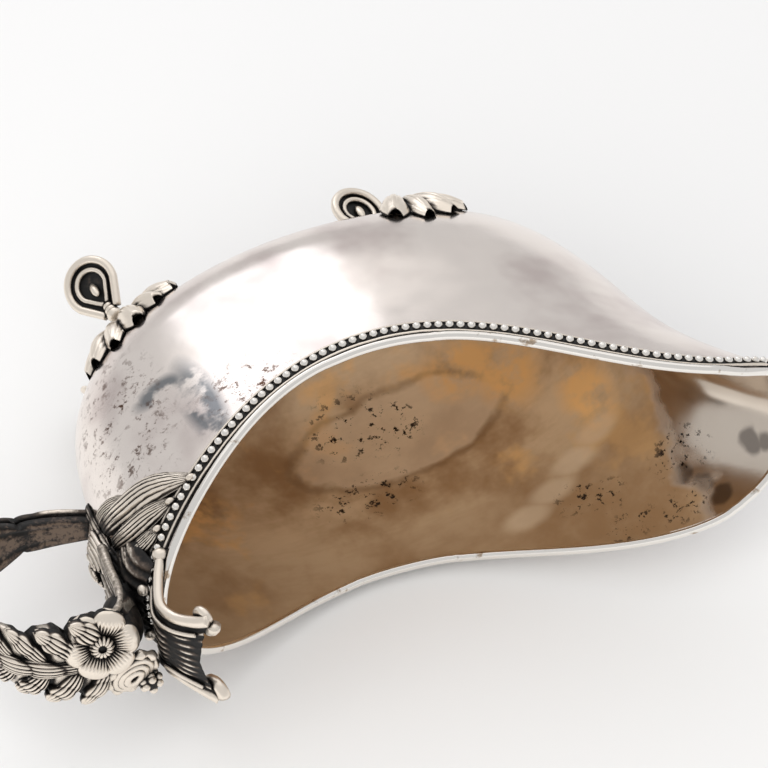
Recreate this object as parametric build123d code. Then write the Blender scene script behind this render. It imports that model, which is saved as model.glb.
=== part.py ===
from build123d import *
import os
from math import cos, pi, radians, sin

# ------------------------------------------------------------------
# Silver sauce boat: a raised bowl on four cast feet, with a beaded rim
# and a cast loop handle.  Millimetres, +Z up, +X towards the spout.
# The origin is on the table, under the middle of the overall length.
# ------------------------------------------------------------------

# Bowl
BOWL_LENGTH = 151.0        # rear wall to spout tip
BOWL_WIDTH = 66.0          # outside, at the widest level
BOWL_HEIGHT = 83.0         # underside to the highest point of the wall
WALL = 1.1                 # sheet thickness
FOOT_HEIGHT = 15.0         # table to underside of the bowl

# Levels of the bowl: height share, rear end share, front end share,
# half-width share, egg (how much wider the oval is towards the front).
LEVELS = (
    (0.000, 0.245, 0.720, 0.45, -0.03),
    (0.030, 0.172, 0.752, 0.65, -0.05),
    (0.110, 0.088, 0.790, 0.86, -0.06),
    (0.300, 0.024, 0.836, 0.97, -0.03),
    (0.560, 0.000, 0.872, 0.98, -0.02),
    (0.850, 0.007, 0.954, 0.99, -0.09),
    (1.180, 0.085, 1.205, 0.91, -0.26),
)
BOTTOM_SHARE = 0.2         # the rounded bottom reaches up to this share
# Edge of the bowl seen from the side: length share, height share.
EDGE = (
    (-0.02, 0.980),
    (0.16, 0.805),
    (0.32, 0.680),
    (0.49, 0.690),
    (0.665, 0.855),
    (0.84, 0.995),
    (1.02, 0.890),
)

# Edge mouldings
RIM_WIRE = 1.8             # height of the plain wire on the edge
RIM_OVERHANG = 0.9         # how far it stands proud, inside and out
BORDER_HEIGHT = 4.2        # beaded strip under the rim wire
BORDER_DEPTH = 1.7         # how far the beads stand out

# Feet
FRONT_FOOT_REACH = 83.5    # rear wall to the knots of the front feet
REAR_FOOT_REACH = 23.5
FRONT_FOOT_TRACK = 25.0    # knot to knot, across
REAR_FOOT_TRACK = 27.0
FRONT_FAN_REACH = 88.0     # rear wall to the root of the front leaf fans
FRONT_FAN_TRACK = 42.0
FRONT_FOOT_TURN = 68.0     # degrees from +X that the foot faces
REAR_FOOT_TURN = 130.0
FOOT_PAD = 13.0            # width of the spoon-shaped end
FOOT_NECK = 4.6            # width at the knot
FOOT_THICK = 2.6
FRONT_FOOT_LEAN = 8.0      # degrees outwards
REAR_FOOT_LEAN = 22.0
FOOT_FLAT = 0.4            # ground off the pad's lowest point
FAN_SPREAD = 14.5          # leaf fan, from the knot out to its tips
FAN_DEPTH = 7.0            # the fan's height, knot to bowl
KNOT = 5.2                 # diameter of the knot at the root

# Handle
HANDLE_REACH = 34.0        # rear wall to the back of the loop
GRIP_RISE = 3.5            # crest of the grip above the highest point of the wall
LOWER_ARM_RISE = 43.5      # centre of the lower arm above the bowl's underside
ARM_THICK = 4.4
GRIP_WIDTH = 26.0
LOWER_ARM_WIDTH = 19.0
SPLIT_RISE = 63.0          # the joint between the arms, above the bowl's underside
ROOT_THICK = 3.4           # casting that spreads over the rear wall
ROOT_WIDTH = 17.0
SPRAY_THICK = 2.4
SPRAY_REACH = 16.0         # how far forward the sprays run
THUMB_RISE = 15.0          # top of the thumb piece above the highest point of the wall
THUMB_WIDTH = 24.0
THUMB_THICK = 2.6
FLOWER = 16.5              # diameter of the open flower
ROSETTE = 11.0
BUD = 6.5
ORNAMENT_THICK = 2.4

# ------------------------------------------------------------------
# Places that follow from the sizes
# ------------------------------------------------------------------
REAR = HANDLE_REACH - (BOWL_LENGTH + HANDLE_REACH) / 2
HALF = BOWL_WIDTH / 2
REACH_Y = BOWL_WIDTH       # tool solids run this far each side
WALL_TOP = FOOT_HEIGHT + BOWL_HEIGHT
GRIP_CREST = WALL_TOP + GRIP_RISE
THUMB_TOP = WALL_TOP + THUMB_RISE
LOWER_ARM_LEVEL = FOOT_HEIGHT + LOWER_ARM_RISE
ARM_SPLIT = FOOT_HEIGHT + SPLIT_RISE


def along(share):
    """X of a share of the bowl's length, from the rear wall."""
    return REAR + share * BOWL_LENGTH


def up(share):
    """Z of a share of the bowl's height, from its underside."""
    return FOOT_HEIGHT + share * BOWL_HEIGHT


def oval(level, grow):
    """Egg-shaped section at one level, grown outwards by an offset."""
    share, rear, front, half, egg = level
    lift = -grow * max(0.0, 1 - share / BOTTOM_SHARE)
    back, fore = along(rear) - grow, along(front) + grow
    middle, reach, width = (back + fore) / 2, (fore - back) / 2, half * HALF + grow
    steps = 16
    angles = [2 * pi * i / steps for i in range(steps)]
    z = up(share) + lift
    points = [(middle + reach * cos(a), width * sin(a) * (1 + egg * cos(a)), z) for a in angles]
    return make_face(Spline(*points, periodic=True))


def bowl_form(grow=0.0):
    """Solid of the bowl's outer form, up to above the highest edge."""
    return loft([oval(level, grow) for level in LEVELS])


def under_edge(lift=0.0):
    """Everything lower than the edge line, moved up by lift."""
    line = Spline(*[(along(x), up(z) + lift) for x, z in EDGE])
    low = -FOOT_HEIGHT
    sides = Polyline(line @ 1, ((line @ 1).X, low), ((line @ 0).X, low), line @ 0)
    return extrude(Plane.XZ * make_face(line + sides), REACH_Y, both=True)


def one(shape):
    """The largest solid of a result."""
    return max(shape.solids(), key=lambda solid: solid.volume)


def prism(plane, points, depth, smooth=True):
    """Closed outline on a plane, pulled along its normal."""
    line = Spline(*points, periodic=True) if smooth else Polyline(*points, close=True)
    return extrude(plane * make_face(line), depth)


def mirrored(shape):
    """The same piece on the other side of the middle plane."""
    return mirror(shape, about=Plane.XZ)


# ------------------------------------------------------------------
# Bowl, rim wire and beaded border
# ------------------------------------------------------------------
outer = bowl_form()
inner = bowl_form(-WALL)
edge = under_edge()
BORDER_FOOT = under_edge(-BORDER_HEIGHT)   # everything below the beaded strip


def make_body():
    return one((outer & edge) - inner)


def band(grow, low, high, hollow):
    """Ring between two edge lines, out to the grown bowl form, with a hollow taken out."""
    return one(((bowl_form(grow) - low) & high) - hollow)


def make_rim_wire():
    return band(RIM_OVERHANG, edge, under_edge(RIM_WIRE), bowl_form(-WALL - RIM_OVERHANG))


def make_bead_border():
    return band(BORDER_DEPTH, BORDER_FOOT, edge, outer)


# ------------------------------------------------------------------
# Castings on the rear wall: root, leaf sprays
# ------------------------------------------------------------------
def on_wall(thickness, tool):
    """Casting of even thickness on the outside of the bowl, below the beaded strip, inside a tool."""
    return (bowl_form(thickness) & tool & BORDER_FOOT) - outer


ROOT_TOP = up(EDGE[0][1])
ROOT_LOW = LOWER_ARM_LEVEL - ARM_THICK / 2


def make_handle_root():
    """Shell-ribbed casting down the middle of the rear wall."""
    half, rise = ROOT_WIDTH / 2, ROOT_TOP - ROOT_LOW
    outline = [(-half * 0.35, ROOT_LOW), (half * 0.35, ROOT_LOW), (half * 0.8, ROOT_LOW + rise * 0.3),
               (half, ROOT_LOW + rise * 0.62), (half * 1.05, ROOT_TOP + 2), (-half * 1.05, ROOT_TOP + 2),
               (-half, ROOT_LOW + rise * 0.62), (-half * 0.8, ROOT_LOW + rise * 0.3)]
    tool = prism(Plane.YZ.offset(REAR + HALF * 0.6), outline, -HALF * 1.4, smooth=False)
    return one(on_wall(ROOT_THICK, tool))


def make_leaf_spray():
    """Acanthus spray that runs forward under the border, on the +Y side."""
    low = ROOT_LOW + 12
    outline = [(REAR - ROOT_THICK * 2, low), (REAR + 4, low + 5), (REAR + 0.7 * SPRAY_REACH, low + 8),
               (REAR + SPRAY_REACH, low + 14), (REAR + 0.8 * SPRAY_REACH, ROOT_TOP),
               (REAR - ROOT_THICK * 2, ROOT_TOP + 4)]
    tool = prism(Plane.XZ, outline, -REACH_Y, smooth=False)
    return one(on_wall(SPRAY_THICK, tool) - root)


# ------------------------------------------------------------------
# Handle: grip, lower arm, thumb piece, flower, rosette, bud
# ------------------------------------------------------------------
BACK = REAR - HANDLE_REACH


def loop_line():
    """Middle line of the loop seen from the side, from the root round to the rear wall."""
    middle = (GRIP_CREST + LOWER_ARM_LEVEL) / 2
    half = ARM_THICK / 2
    return Spline((REAR + 1, ROOT_TOP - 9), (REAR - 12, GRIP_CREST - half), (REAR - 25, GRIP_CREST - 7),
                  (BACK + half, middle), (REAR - 22, LOWER_ARM_LEVEL), (REAR - 9, LOWER_ARM_LEVEL + 1),
                  (REAR + 2, LOWER_ARM_LEVEL + 5), tangents=((-0.6, 1), (1, 0.4)))


def make_loop():
    """Band of even thickness along the loop line, as wide as the grip."""
    line, steps, half = loop_line(), 18, ARM_THICK / 2
    sides = {1: [], -1: []}
    for i in range(steps + 1):
        point, run = line @ (i / steps), line % (i / steps)
        for side, points in sides.items():
            points.append((point.X - side * half * run.Y, point.Y + side * half * run.X))
    left, right = Spline(*sides[1]), Spline(*sides[-1])
    outline = left + Line(left @ 1, right @ 1) + right + Line(right @ 0, left @ 0)
    return extrude(Plane.XZ * make_face(outline), GRIP_WIDTH, both=True)


def plan_tool(stations, low, high):
    """Upright prism whose half-width follows (distance behind the rear wall, half-width) stations."""
    right = [(REAR - away, half) for away, half in stations]
    left = [(x, -y) for x, y in reversed(right)]
    edge_line = Spline(*right)
    other = Spline(*left)
    face = make_face(edge_line + Line(edge_line @ 1, other @ 0) + other + Line(other @ 1, edge_line @ 0))
    return extrude(Plane.XY.offset(low) * face, high - low)


def make_handle_grip():
    half = GRIP_WIDTH / 2
    plan = plan_tool([(-8, half * 0.6), (3, half * 0.72), (10, half), (18, half * 0.86), (25, half * 0.66),
                      (HANDLE_REACH + 2, half * 0.55)], ARM_SPLIT, THUMB_TOP)
    return one((loop & plan) - outer - root - bead_border - rim_wire)


def make_lower_arm():
    half = LOWER_ARM_WIDTH / 2
    plan = plan_tool([(-8, half * 0.5), (2, half * 0.55), (9, half * 0.75), (14, half * 0.85), (20, half),
                      (HANDLE_REACH + 2, half * 0.75)], FOOT_HEIGHT, ARM_SPLIT)
    return one((loop & plan) - outer - root)


def rim_rear():
    """X of the bowl's rear at the level of the rim."""
    (low, low_rear), (high, high_rear) = [(level[0], level[1]) for level in LEVELS[-2:]]
    share = (EDGE[0][1] - low) / (high - low)
    return along(low_rear + share * (high_rear - low_rear))


def make_thumb_piece():
    """Flared shield that rises over the rear of the rim and rolls forward."""
    low, rise = ROOT_TOP - 3, THUMB_TOP - ROOT_TOP + 3
    foot_x = rim_rear() - THUMB_THICK
    line = Spline((foot_x - 1.5, low), (foot_x - 2, low + rise * 0.45),
                  (foot_x + 5, THUMB_TOP - THUMB_THICK / 2))
    front = Spline(*[(p.X + THUMB_THICK, p.Y - THUMB_THICK * 0.2) for p in (line @ 0, line @ 0.5, line @ 1)])
    side = make_face(line + Line(line @ 1, front @ 1) + front + Line(front @ 0, line @ 0))
    half = THUMB_WIDTH / 2
    outline = [(-half * 0.75, low - 4), (half * 0.75, low - 4), (half * 0.72, low + rise * 0.3),
               (half * 0.66, low + rise * 0.55), (half, THUMB_TOP - 3), (half * 0.92, THUMB_TOP + 1),
               (-half * 0.92, THUMB_TOP + 1), (-half, THUMB_TOP - 3), (-half * 0.66, low + rise * 0.55),
               (-half * 0.72, low + rise * 0.3)]
    shield = extrude(Plane.XZ * side, THUMB_WIDTH, both=True)
    tool = prism(Plane.YZ.offset(REAR - HALF), outline, 2 * HALF, smooth=False)
    return one((shield & tool) - outer - rim_wire - bead_border - root - grip)


def ornament(away, across, diameter, tilt):
    """Round boss that stands on the grip's outer face, tipped towards its own side."""
    plane = Plane(origin=(REAR - away, across, GRIP_CREST), z_dir=(-0.15, tilt, 1))
    return plane * Cylinder(diameter / 2, 2 * ORNAMENT_THICK)


def make_flower():
    disc = ornament(FLOWER * 0.68, FLOWER * 0.24, FLOWER, 0.25)
    return one(disc - grip - thumb - bead_border - rim_wire)


def make_rosette():
    disc = ornament(ROSETTE * 0.48, -ROSETTE * 0.5, ROSETTE, -0.2)
    return one(disc - grip - thumb - flower - bead_border - rim_wire)


def make_bud():
    ball = Pos(REAR - BUD * 0.25, -GRIP_WIDTH * 0.36, GRIP_CREST - BUD * 0.1) * Sphere(BUD / 2)
    return one(ball - grip - thumb - rosette - flower - root - bead_border - rim_wire)


# ------------------------------------------------------------------
# Feet: each a leaf fan against the bowl, a knot and a spoon-shaped foot
# ------------------------------------------------------------------
def foot_plane(reach, track, turn):
    """Upright plane through a knot: local X across the foot, local Y up, Z the way it faces."""
    facing = (cos(radians(turn)), sin(radians(turn)), 0)
    across = (-sin(radians(turn)), cos(radians(turn)), 0)
    return Plane(origin=(REAR + reach, track / 2, FOOT_HEIGHT), x_dir=across, z_dir=facing)


def fan_cone(reach, track, turn):
    """Sector of a flat cone that spreads from a knot up on to the bowl's side."""
    upright = foot_plane(reach, track, turn)
    axis = Vector(upright.z_dir.X, upright.z_dir.Y, -1.0)
    plane = Plane(origin=upright.origin, x_dir=upright.x_dir, z_dir=axis)
    tip, far = KNOT / 2, 1.2 * FAN_SPREAD
    cone = Cone(FAN_SPREAD, tip * 0.8, FAN_DEPTH, align=(Align.CENTER, Align.CENTER, Align.MAX))
    sector = Polyline((-tip, -tip), (tip, -tip), (far, far * 0.3), (far, far),
                      (-far, far), (-far, far * 0.3), close=True)
    return plane * (cone & extrude(make_face(sector), 2 * FAN_DEPTH, both=True))


def make_foot(reach, track, turn, lean, cone):
    """Spoon-shaped foot with its knot, standing on the table."""
    plane = foot_plane(reach, track, turn)
    radius, drop = FOOT_PAD / 2, FOOT_HEIGHT / cos(radians(lean))
    centre = radius - drop - FOOT_FLAT
    neck = FOOT_NECK / 2
    spoon = Circle(radius)
    stem = make_face(Polyline((-radius * 0.94, radius * 0.3), (radius * 0.94, radius * 0.3),
                              (neck, -centre), (-neck, -centre), close=True))
    blade = extrude(Pos(0, centre, 0) * (spoon + stem), FOOT_THICK / 2, both=True)
    blade = plane * Rot(X=-lean) * blade
    knot = plane * Sphere(KNOT / 2)
    above = Pos(0, 0, FOOT_HEIGHT) * Box(8 * BOWL_LENGTH, 4 * BOWL_WIDTH, 2 * FOOT_HEIGHT)
    return ((blade + knot) & above) - cone


body = make_body()
rim_wire = make_rim_wire()
bead_border = make_bead_border()
root = make_handle_root()
spray = make_leaf_spray()
loop = make_loop()
grip = make_handle_grip()
lower_arm = make_lower_arm()
thumb = make_thumb_piece()

flower = make_flower()
rosette = make_rosette()
bud = make_bud()

parts = {
    "body": body,
    "rim_wire": rim_wire,
    "bead_border": bead_border,
    "handle_root": root,
    "leaf_spray_left": spray,
    "leaf_spray_right": mirrored(spray),
    "handle_grip": grip,
    "handle_lower_arm": lower_arm,
    "thumb_piece": thumb,
    "flower": flower,
    "rosette": rosette,
    "bud": bud,
}
FRONT_FAN = (FRONT_FAN_REACH, FRONT_FAN_TRACK, FRONT_FOOT_TURN)
FRONT_KNOT = (FRONT_FOOT_REACH, FRONT_FOOT_TRACK, FRONT_FOOT_TURN)
REAR_KNOT = (REAR_FOOT_REACH, REAR_FOOT_TRACK, REAR_FOOT_TURN)
FEET = {
    "front": (FRONT_FAN, FRONT_KNOT, FRONT_FOOT_LEAN),
    "rear": (REAR_KNOT, REAR_KNOT, REAR_FOOT_LEAN),
}
for place, (fan, knot, lean) in FEET.items():
    cone = fan_cone(*fan)
    foot = make_foot(*knot, lean, cone)
    parts[f"leaf_fan_{place}_left"] = one(cone - outer)
    parts[f"leaf_fan_{place}_right"] = one(mirrored(cone) - outer)
    parts[f"foot_{place}_left"] = one(foot - outer)
    parts[f"foot_{place}_right"] = one(mirrored(foot) - outer)

# The origin stands under the middle of the whole object.
boxes = [shape.bounding_box() for shape in parts.values()]
middle_x = (min(box.min.X for box in boxes) + max(box.max.X for box in boxes)) / 2

os.makedirs("parts", exist_ok=True)
for name, shape in parts.items():
    placed = Pos(-middle_x, 0, 0) * shape
    export_step(placed, f"parts/{name}.step")
    box = placed.bounding_box()
    print(f"{name}: {shape.volume:.1f} mm3, {box.min} to {box.max}")
print(f"moved by {-middle_x:.3f}")
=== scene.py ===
"""Visual model of a silver sauce boat: hand-raised bowl, beaded rim, cast handle and four cast feet.

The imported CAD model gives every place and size.  Lengths here are millimetres until a mesh is written.
"""
import logging
import math
from dataclasses import dataclass, field
from enum import Enum
from typing import Callable, Iterable, Optional, Sequence, Union

import bmesh
import bpy
from mathutils import Matrix, Vector
from mathutils.bvhtree import BVHTree
from mathutils.noise import noise


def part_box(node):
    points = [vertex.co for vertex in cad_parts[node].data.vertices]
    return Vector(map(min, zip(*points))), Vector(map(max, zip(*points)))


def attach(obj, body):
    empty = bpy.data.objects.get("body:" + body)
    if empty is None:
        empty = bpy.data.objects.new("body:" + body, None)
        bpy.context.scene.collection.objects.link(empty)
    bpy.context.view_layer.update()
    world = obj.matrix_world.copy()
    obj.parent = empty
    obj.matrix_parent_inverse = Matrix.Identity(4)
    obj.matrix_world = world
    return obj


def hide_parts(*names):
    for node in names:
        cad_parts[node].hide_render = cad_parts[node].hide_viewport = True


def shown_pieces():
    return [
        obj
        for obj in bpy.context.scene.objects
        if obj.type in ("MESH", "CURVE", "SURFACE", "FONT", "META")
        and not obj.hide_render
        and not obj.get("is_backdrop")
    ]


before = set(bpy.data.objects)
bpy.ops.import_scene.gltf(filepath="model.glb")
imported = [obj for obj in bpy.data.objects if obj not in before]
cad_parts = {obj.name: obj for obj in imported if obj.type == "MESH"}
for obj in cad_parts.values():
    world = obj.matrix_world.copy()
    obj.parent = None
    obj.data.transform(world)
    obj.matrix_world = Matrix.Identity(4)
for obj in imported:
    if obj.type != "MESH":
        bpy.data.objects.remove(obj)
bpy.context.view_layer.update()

MM = 0.001
LOG = logging.getLogger("sauce_boat")
Path = list[Vector]
Socket = bpy.types.NodeSocket
Amount = Union[float, Socket]     # a number, or a socket that carries one
Colour = Union[str, Socket]       # a hex code, or a socket that carries a colour
UP = Vector((0.0, 0.0, 1.0))


class Side(Enum):
    """The two sides of the boat, as the sign of Y."""

    LEFT = 1.0
    RIGHT = -1.0


LOW, HIGH = [Vector(corner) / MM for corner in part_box("body")]
REAR_WALL = LOW.x + 0.9        # the upright part of the rear wall
TABLE_TO_BOWL = LOW.z


def at(forward: float, across: float, up: float) -> Vector:
    """A place by its distance forward of the rear wall, across, and above the table."""
    return Vector((REAR_WALL + forward, across, up))


# ----------------------------------------------------------------------------------------------
# Colour and node helpers
# ----------------------------------------------------------------------------------------------
def linear(code: str) -> tuple[float, float, float, float]:
    """Turns an sRGB hex colour into linear RGBA.

    Args:
        code: six hex digits, such as "d8c9b4".

    Returns:
        Linear red, green, blue and an alpha of 1.
    """
    parts = [int(code[i:i + 2], 16) / 255 for i in (0, 2, 4)]
    red, green, blue = [p / 12.92 if p <= 0.04045 else ((p + 0.055) / 1.055) ** 2.4 for p in parts]
    return red, green, blue, 1.0


def add(tree: bpy.types.NodeTree, kind: str, inputs: Optional[dict] = None, **settings) -> bpy.types.Node:
    """Adds one node, sets it up and links it.

    Args:
        tree: the node tree that gets the node.
        kind: the node's type name.
        inputs: socket name or number to a value, or to an output socket to link.
        settings: node properties.

    Returns:
        The new node.
    """
    node = tree.nodes.new(kind)
    for key, value in settings.items():
        setattr(node, key, value)
    for key, value in (inputs or {}).items():
        if isinstance(value, Socket):
            tree.links.new(value, node.inputs[key])
        else:
            node.inputs[key].default_value = value
    return node


@dataclass
class Pattern:
    """A material's node tree with the few combinations its finishes share."""

    tree: bpy.types.NodeTree

    def place(self) -> Socket:
        """Object coordinates in metres."""
        return add(self.tree, "ShaderNodeTexCoord").outputs["Object"]

    def maths(self, operation: str, *values: Amount, clamp: bool = False) -> Socket:
        """One Math node.

        Args:
            operation: the operation's name.
            values: one to three numbers or sockets.
            clamp: whether to keep the result within 0 and 1.

        Returns:
            The value socket.
        """
        sockets = dict(enumerate(values))
        return add(self.tree, "ShaderNodeMath", sockets, operation=operation, use_clamp=clamp).outputs[0]

    def grain(self, size_mm: float, detail: float = 3.0, stretch: Vector = Vector((1, 1, 1)),
              rough: float = 0.55) -> Socket:
        """Noise whose lumps have a real size.

        Args:
            size_mm: size of the lumps in millimetres.
            detail: octaves of finer lumps.
            stretch: scale of the pattern along each axis.
            rough: weight of the finer lumps.

        Returns:
            The noise value, about 0.5 on average.
        """
        mapped = add(self.tree, "ShaderNodeMapping", {"Vector": self.place(), "Scale": stretch})
        sockets = {"Vector": mapped.outputs[0], "Scale": 1 / (size_mm * MM), "Detail": detail, "Roughness": rough}
        return add(self.tree, "ShaderNodeTexNoise", sockets).outputs[0]

    def step(self, value: Socket, low: float, high: float) -> Socket:
        """Smooth step from 0 at low to 1 at high.

        Args:
            value: the value to step.
            low: where the step starts.
            high: where it ends.

        Returns:
            A value from 0 to 1.
        """
        sockets = {"Value": value, "From Min": low, "From Max": high}
        return add(self.tree, "ShaderNodeMapRange", sockets, interpolation_type="SMOOTHSTEP").outputs[0]

    def mix(self, share: Amount, first: Colour, second: Colour) -> Socket:
        """Mixes two colours.

        Args:
            share: weight of the second colour, a number or a socket.
            first: hex code or colour socket.
            second: hex code or colour socket.

        Returns:
            The mixed colour socket.
        """
        first, second = [linear(c) if isinstance(c, str) else c for c in (first, second)]
        sockets = {"Factor": share, "A": first, "B": second}
        node = add(self.tree, "ShaderNodeMix", data_type="RGBA")
        for key, value in sockets.items():
            kind = "VALUE" if key == "Factor" else "RGBA"
            socket = next(s for s in node.inputs if s.name == key and s.type == kind)
            if isinstance(value, Socket):
                self.tree.links.new(value, socket)
            else:
                socket.default_value = value
        return next(s for s in node.outputs if s.type == "RGBA")

    def ball(self, centre: Sequence[float], reach: Sequence[float]) -> Socket:
        """Soft-edged ellipsoid mask at a place on the boat.

        Args:
            centre: the middle, in millimetres.
            reach: its half sizes along X, Y and Z, in millimetres.

        Returns:
            1 in the middle, falling to 0 at the edge.
        """
        scale = Vector([1 / (r * MM) for r in reach])
        away = Vector([-c * MM * s for c, s in zip(centre, scale)])
        mapped = add(self.tree, "ShaderNodeMapping", {"Vector": self.place(), "Scale": scale, "Location": away})
        length = add(self.tree, "ShaderNodeVectorMath", {0: mapped.outputs[0]}, operation="LENGTH").outputs["Value"]
        return self.maths("SUBTRACT", 1.0, length, clamp=True)

    def bump(self, height: Socket, depth_mm: float, base: Optional[Socket] = None) -> Socket:
        """Bump whose depth is a real size.

        Args:
            height: the height pattern, 0 to 1.
            depth_mm: depth in millimetres.
            base: a normal to build on, if there is one.

        Returns:
            The normal socket.
        """
        sockets = {"Height": height, "Distance": depth_mm * MM, "Strength": 1.0}
        if base is not None:
            sockets["Normal"] = base
        return add(self.tree, "ShaderNodeBump", sockets).outputs[0]


@dataclass(frozen=True)
class Finish:
    """A surface finish; each kind fills its own node tree."""

    name: str

    def paint(self, pattern: Pattern, shader: bpy.types.Node) -> None:
        """Sets the shader up; each finish has its own way.

        Args:
            pattern: the material's node tree.
            shader: its surface shader.
        """
        raise NotImplementedError

    def build(self) -> bpy.types.Material:
        """Makes the material once and returns it."""
        made = bpy.data.materials.get(self.name)
        if made:
            return made
        made = bpy.data.materials.new(self.name)
        made.use_nodes = True
        tree = made.node_tree
        tree.nodes.clear()
        shader = add(tree, "ShaderNodeBsdfPrincipled")
        add(tree, "ShaderNodeOutputMaterial", {"Surface": shader.outputs[0]})
        self.paint(Pattern(tree), shader)
        return made


@dataclass(frozen=True)
class Stain:
    """A soft-edged mark: its middle (forward, across, up) and half sizes, in millimetres."""

    centre: tuple[float, float, float]
    reach: tuple[float, float, float]

    def mask(self, pattern: Pattern) -> Socket:
        """How strong the mark is at each place, 0 to 1."""
        return pattern.ball(at(*self.centre), self.reach)


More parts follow.
